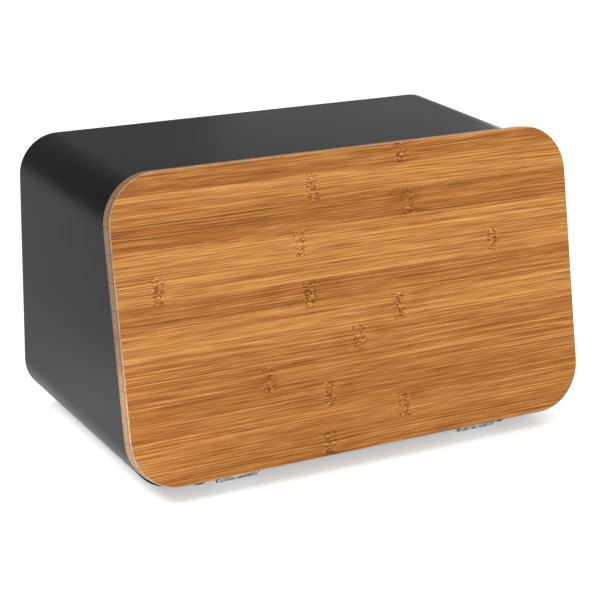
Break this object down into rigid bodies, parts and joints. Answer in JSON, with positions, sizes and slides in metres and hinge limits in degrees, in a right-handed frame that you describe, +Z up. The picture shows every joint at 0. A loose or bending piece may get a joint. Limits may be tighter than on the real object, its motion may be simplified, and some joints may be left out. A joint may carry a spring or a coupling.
{
  "type": "bread box",
  "caption": "Rounded matte black steel bread box whose leaning bamboo front is a flap that swings forward and down on butt hinges under its lower edge.",
  "frame": {"origin": "on the surface the box stands on, under the middle of its bounding box", "axes": "+X to the right across the front, -Y out of the front, +Z up"},
  "size_m": [0.36, 0.203, 0.2154],
  "materials": {
    "black_steel": "matte black powder coat",
    "bamboo_face": "caramelised bamboo strips, satin lacquer",
    "bamboo_core": "bamboo cross strips, cut edge",
    "bamboo_back": "bamboo strips, satin lacquer",
    "hinge_steel": "nickel-plated steel",
    "fastener_steel": "zinc-plated steel",
    "magnet_plating": "nickel-plated magnet",
    "foot_rubber": "matte black rubber"
  },
  "bodies": {
    "body": {"body_shell": "black_steel", "front_frame": "black_steel", "back_panel": "black_steel", "hinge_body_leaf_left": "hinge_steel", "hinge_pin_left": "hinge_steel", "hinge_floor_screws_left": "fastener_steel", "hinge_floor_nuts_left": "fastener_steel", "foot_front_left": "foot_rubber", "foot_rear_left": "foot_rubber", "hinge_body_leaf_right": "hinge_steel", "hinge_pin_right": "hinge_steel", "hinge_floor_screws_right": "fastener_steel", "hinge_floor_nuts_right": "fastener_steel", "foot_front_right": "foot_rubber", "foot_rear_right": "foot_rubber"},
    "door": {"door_face_ply": "bamboo_face", "door_core_ply": "bamboo_core", "door_back_ply": "bamboo_back", "door_magnet_left": "magnet_plating", "hinge_door_leaf_left": "hinge_steel", "hinge_door_screws_left": "fastener_steel", "door_magnet_right": "magnet_plating", "hinge_door_leaf_right": "hinge_steel", "hinge_door_screws_right": "fastener_steel"}
  },
  "joints": [
    {"name": "door_hinge", "type": "hinge", "parent": "body", "child": "door", "pos_m": [0, -0.09533, 0.00808], "axis": [1, 0, 0], "range_deg": [0, 102]}
  ]
}
